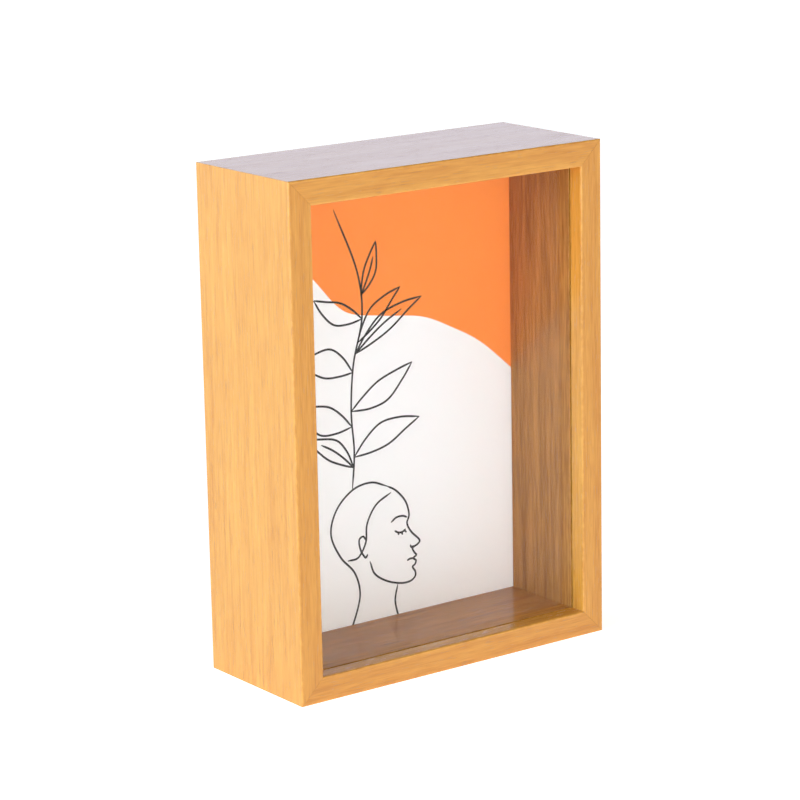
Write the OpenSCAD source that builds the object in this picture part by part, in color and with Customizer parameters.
// Deep box picture frame, standing on its bottom side.
// Origin: middle of the bottom face. +X to the right, +Y to the rear, +Z up. Millimetres.

/* [Picture] */
// Width of the print behind the glazing
print_w = 127; // [100:1:210]
// Height of the print
print_h = 178; // [130:1:300]
// Thickness of the print
print_t = 0.3; // [0.2:0.1:1]
// How far the liner covers the edge of the print
print_cover = 1.9; // [1:0.1:4]

/* [Moulding] */
// Thickness of the moulding's wall behind its front lip
wall_t = 6.5; // [5:0.5:10]
// Thickness of the front lip, front to back
lip_t = 6.5; // [3:0.5:8]
// Clear depth between the glazing and the print
display_depth = 36.3; // [20:0.1:60]
// Depth of the recess behind the back board
recess_depth = 12.2; // [12.2:0.1:20]

/* [Glazing, liner and board] */
// Thickness of the glazing
glazing_t = 1.2; // [1:0.1:3]
// Thickness of the liner strips
liner_t = 3; // [2:0.5:5]
// Thickness of the back board
board_t = 3; // [2.5:0.5:5]

/* [Bendable tabs] */
// Width of a tab
tab_w = 8; // [6:0.5:12]
// Thickness of a tab
tab_t = 0.5; // [0.4:0.1:0.8]
// Reach of a tab from its fold to its tip
tab_reach = 11; // [8:0.5:11]
// Distance of a long side's tabs from the middle of that side
long_side_tab_offset = 55; // [35:1:60]
// Distance of a short side's tabs from the middle of that side
short_side_tab_offset = 38; // [25:1:40]

/* [Hangers] */
// Width of a hanger's strap
strap_w = 8; // [7:0.5:10]
// Length of the strap from the ring's hinge line to its round end
strap_l = 16; // [16:0.5:20]
// Distance of the ring's hinge line from the outer face of the frame
hanger_inset = 24; // [24:0.5:30]
// Angle between a hanging ring and the board
ring_rest_tilt = 2; // [2:0.5:6]

/* [Hidden] */
$fn = 64;

// Fit gaps
liner_gap = 0.15;       // liner to moulding, and strip to strip
seat_gap = 0.1;         // liner to print, front to back
glazing_gap = 0.5;      // glazing's edge to moulding
board_gap = 1;          // board's edge to moulding
tab_gap = 0.2;          // tab to board
fold_gap = 0.15;        // tab's fold to moulding

// Moulding
face_w = wall_t + liner_gap + liner_t;
frame_w = print_w + 2 * (face_w - print_cover);
frame_h = print_h + 2 * (face_w - print_cover);

// Depth stations, front to rear
front_y = -(lip_t + glazing_t + display_depth + print_t + board_t + recess_depth) / 2;
rear_y = -front_y;
glazing_y = front_y + lip_t;
liner_y = glazing_y + glazing_t;
print_y = liner_y + display_depth;
board_y = print_y + print_t;
board_rear_y = board_y + board_t;
tab_y = board_rear_y + tab_gap + tab_t / 2;

// Tabs
tab_grip = 5;           // length pressed into the moulding
fold_z = wall_t + fold_gap + tab_t / 2;

// V-nails
nail_leg = 2.6;
nail_t = 0.5;
nail_l = 10;
nail_turn = 60;         // angle between a leg and the mitre

// Hanger strap, ring and rivets
strap_t = 0.8;
wire_r = 0.7;
knuckle_r = wire_r + 0.1;
hinge_h = knuckle_r + strap_t;
ring_r = 6.5;
ring_corner_r = 1.6;
ring_leg = 4.5;
rivet_r = 1;
rivet_head_r = 2;
rivet_head_h = 0.8;
rivet_foot_h = 0.5;
rivet_sink_r = 2.2;
rivet_sink_h = 0.6;
rivet_places = [5, 9.5];

// Turn of each side of the frame about the Y axis, counted from the bottom side
BOTTOM = 0;
LEFT = 90;
TOP = 180;
RIGHT = 270;

function is_upright(side) = side == LEFT || side == RIGHT;
function side_length(side) = is_upright(side) ? frame_h : frame_w;
function tab_offset(side) = is_upright(side) ? long_side_tab_offset : short_side_tab_offset;

// Puts what is made at the bottom side, with the outer face at z = 0, at another side
module on_side(side) {
    half_span = (is_upright(side) ? frame_w : frame_h) / 2;
    translate([0, 0, frame_h / 2])
        rotate([0, side, 0])
            translate([0, 0, -half_span])
                children();
}

// A plate centred on the frame's axis, from depth y backwards
module centred_plate(w, h, y, t) {
    translate([-w / 2, y, (frame_h - h) / 2]) cube([w, t, h]);
}

// ---- Moulding, nails and liner ----

// One length of rebated moulding at the bottom side, mitred at both ends
module mitred_length(l) {
    lip_end = l / 2 - face_w;
    intersection() {
        rotate([90, 0, 90])
            linear_extrude(l, center = true)
                polygon([
                    [front_y, 0], [rear_y, 0], [rear_y, wall_t],
                    [glazing_y, wall_t], [glazing_y, face_w], [front_y, face_w]
                ]);
        translate([0, rear_y, 0])
            rotate([90, 0, 0])
                linear_extrude(rear_y - front_y)
                    polygon([[-l / 2, 0], [l / 2, 0], [lip_end, face_w], [-lip_end, face_w]]);
    }
}

// The end of a tab that is pressed into the bottom side, at x
module shank(x) {
    translate([x - tab_w / 2, tab_y - tab_t / 2, wall_t - tab_grip]) cube([tab_w, tab_t, tab_grip]);
}

module side_shanks(side) {
    for (way = [-1, 1]) shank(way * tab_offset(side));
}

// A V-nail in the rear rim, across one corner's mitre, open towards the outer corner
module corner_nail(right, up) {
    outward = right > 0 ? -45 * up : 180 + 45 * up;
    translate([
        right * (frame_w - wall_t) / 2,
        rear_y - nail_l,
        frame_h / 2 + up * (frame_h - wall_t) / 2
    ])
        rotate([-90, outward, 0])
            linear_extrude(nail_l)
                translate([-nail_leg * cos(nail_turn) / 2, 0])
                    for (leg = [-1, 1])
                        rotate(leg * nail_turn)
                            translate([0, -nail_t / 2]) square([nail_leg, nail_t]);
}

module corner_nails() {
    color("silver")
        for (right = [-1, 1], up = [-1, 1]) corner_nail(right, up);
}

module moulding(side) {
    color("burlywood")
        difference() {
            on_side(side)
                difference() {
                    mitred_length(side_length(side));
                    side_shanks(side);
                }
            corner_nails();
        }
}

// The upright strips run the full height, and the level ones stand between them
module liner(side) {
    l = side_length(side) - 2 * (is_upright(side) ? wall_t + liner_gap : face_w + liner_gap);
    color("peru")
        on_side(side)
            translate([-l / 2, liner_y, wall_t + liner_gap])
                cube([l, display_depth - seat_gap, liner_t]);
}

// ---- Glazing, print and board ----

module glazing() {
    edge = wall_t + glazing_gap;
    color("lightcyan", 0.3)
        centred_plate(frame_w - 2 * edge, frame_h - 2 * edge, glazing_y, glazing_t);
}

module art_print() {
    color("ivory") centred_plate(print_w, print_h, print_y, print_t);
}

// Repeats a rivet along a hanger that is made at the bottom side
module at_rivets() {
    for (along = rivet_places)
        translate([0, board_rear_y, hanger_inset + along])
            rotate([-90, 0, 0])
                children();
}

module rivet_holes() {
    at_rivets() {
        translate([0, 0, -board_t]) cylinder(r = rivet_r, h = board_t + strap_t);
        translate([0, 0, -board_t]) cylinder(r = rivet_sink_r, h = rivet_sink_h);
    }
}

module back_board() {
    edge = wall_t + board_gap;
    color("saddlebrown")
        difference() {
            centred_plate(frame_w - 2 * edge, frame_h - 2 * edge, board_y, board_t);
            on_side(TOP) rivet_holes();
            on_side(LEFT) rivet_holes();
        }
}

// ---- Bendable tabs ----

module tab_shanks() {
    color("silver")
        for (side = [BOTTOM, LEFT, TOP, RIGHT]) on_side(side) side_shanks(side);
}

// The part of a tab that bends out over the recess, with a round face on its fold line
module tab(side, way) {
    tip_r = tab_w / 2;
    color("silver")
        on_side(side)
            translate([way * tab_offset(side), tab_y, fold_z]) {
                rotate([0, 90, 0]) cylinder(r = tab_t / 2, h = tab_w, center = true);
                translate([-tab_w / 2, -tab_t / 2, 0]) cube([tab_w, tab_t, tab_reach - tip_r]);
                translate([0, 0, tab_reach - tip_r])
                    rotate([90, 0, 0])
                        cylinder(r = tip_r, h = tab_t, center = true);
            }
}

// ---- D-ring hangers ----

// The strap curls round the ring's bar and lies along the board
module hanger_strap(side) {
    color("silver")
        on_side(side)
            difference() {
                union() {
                    translate([0, board_rear_y + hinge_h, hanger_inset])
                        rotate([0, 90, 0])
                            cylinder(r = hinge_h, h = strap_w, center = true);
                    translate([-strap_w / 2, board_rear_y, hanger_inset])
                        cube([strap_w, strap_t, strap_l - strap_w / 2]);
                    translate([0, board_rear_y, hanger_inset + strap_l - strap_w / 2])
                        rotate([-90, 0, 0])
                            cylinder(r = strap_w / 2, h = strap_t);
                }
                translate([0, board_rear_y + hinge_h, hanger_inset])
                    rotate([0, 90, 0])
                        cylinder(r = knuckle_r, h = strap_w + 2, center = true);
                rivet_holes();
            }
}

// A quarter or half turn of wire in the XY plane, about the origin
module wire_bend(bend_r, from, sweep) {
    rotate([0, 0, from])
        rotate_extrude(angle = sweep)
            translate([bend_r, 0]) circle(r = wire_r);
}

// A straight length of wire along Y
module wire_leg(l) {
    rotate([-90, 0, 0]) cylinder(r = wire_r, h = l);
}

// The ring lies in the XY plane, with its bar along X at the origin and its bow towards +Y
module d_ring() {
    bar = 2 * (ring_r - ring_corner_r);
    rotate([0, 90, 0]) cylinder(r = wire_r, h = bar, center = true);
    for (way = [-1, 1]) {
        translate([way * bar / 2, ring_corner_r, 0])
            wire_bend(ring_corner_r, way > 0 ? 270 : 180, 90);
        translate([way * ring_r, ring_corner_r, 0]) wire_leg(ring_leg);
    }
    translate([0, ring_corner_r + ring_leg, 0]) wire_bend(ring_r, 0, 180);
}

module hanger_ring(side) {
    color("silver")
        on_side(side)
            translate([0, board_rear_y + hinge_h, hanger_inset])
                rotate([90 - ring_rest_tilt, 0, 0])
                    d_ring();
}

// A domed head on the strap, a shank through the board and a flat foot sunk in its front
module rivet() {
    dome_r = (rivet_head_r * rivet_head_r + rivet_head_h * rivet_head_h) / (2 * rivet_head_h);
    dome_turn = asin(rivet_head_r / dome_r);
    rotate_extrude()
        polygon([
            [0, -board_t + rivet_sink_h - rivet_foot_h],
            [rivet_head_r, -board_t + rivet_sink_h - rivet_foot_h],
            [rivet_head_r, -board_t + rivet_sink_h],
            [rivet_r, -board_t + rivet_sink_h],
            [rivet_r, strap_t],
            for (step = [0:8])
                let (turn = dome_turn * (1 - step / 8))
                    [dome_r * sin(turn), strap_t + rivet_head_h - dome_r * (1 - cos(turn))]
        ]);
}

module hanger_rivets(side) {
    color("gainsboro") on_side(side) at_rivets() rivet();
}

moulding(LEFT);  // moulding_left
moulding(RIGHT);  // moulding_right
moulding(TOP);  // moulding_top
moulding(BOTTOM);  // moulding_bottom
corner_nails();
glazing();
liner(LEFT);  // liner_left
liner(RIGHT);  // liner_right
liner(TOP);  // liner_top
liner(BOTTOM);  // liner_bottom
art_print();
back_board();
tab_shanks();
tab(LEFT, 1);  // tab_left_lower
tab(LEFT, -1);  // tab_left_upper
tab(RIGHT, -1);  // tab_right_lower
tab(RIGHT, 1);  // tab_right_upper
tab(TOP, 1);  // tab_top_left
tab(TOP, -1);  // tab_top_right
tab(BOTTOM, -1);  // tab_bottom_left
tab(BOTTOM, 1);  // tab_bottom_right
hanger_strap(TOP);  // portrait_hanger_strap
hanger_ring(TOP);  // portrait_hanger_ring
hanger_rivets(TOP);  // portrait_hanger_rivets
hanger_strap(LEFT);  // landscape_hanger_strap
hanger_ring(LEFT);  // landscape_hanger_ring
hanger_rivets(LEFT);  // landscape_hanger_rivets
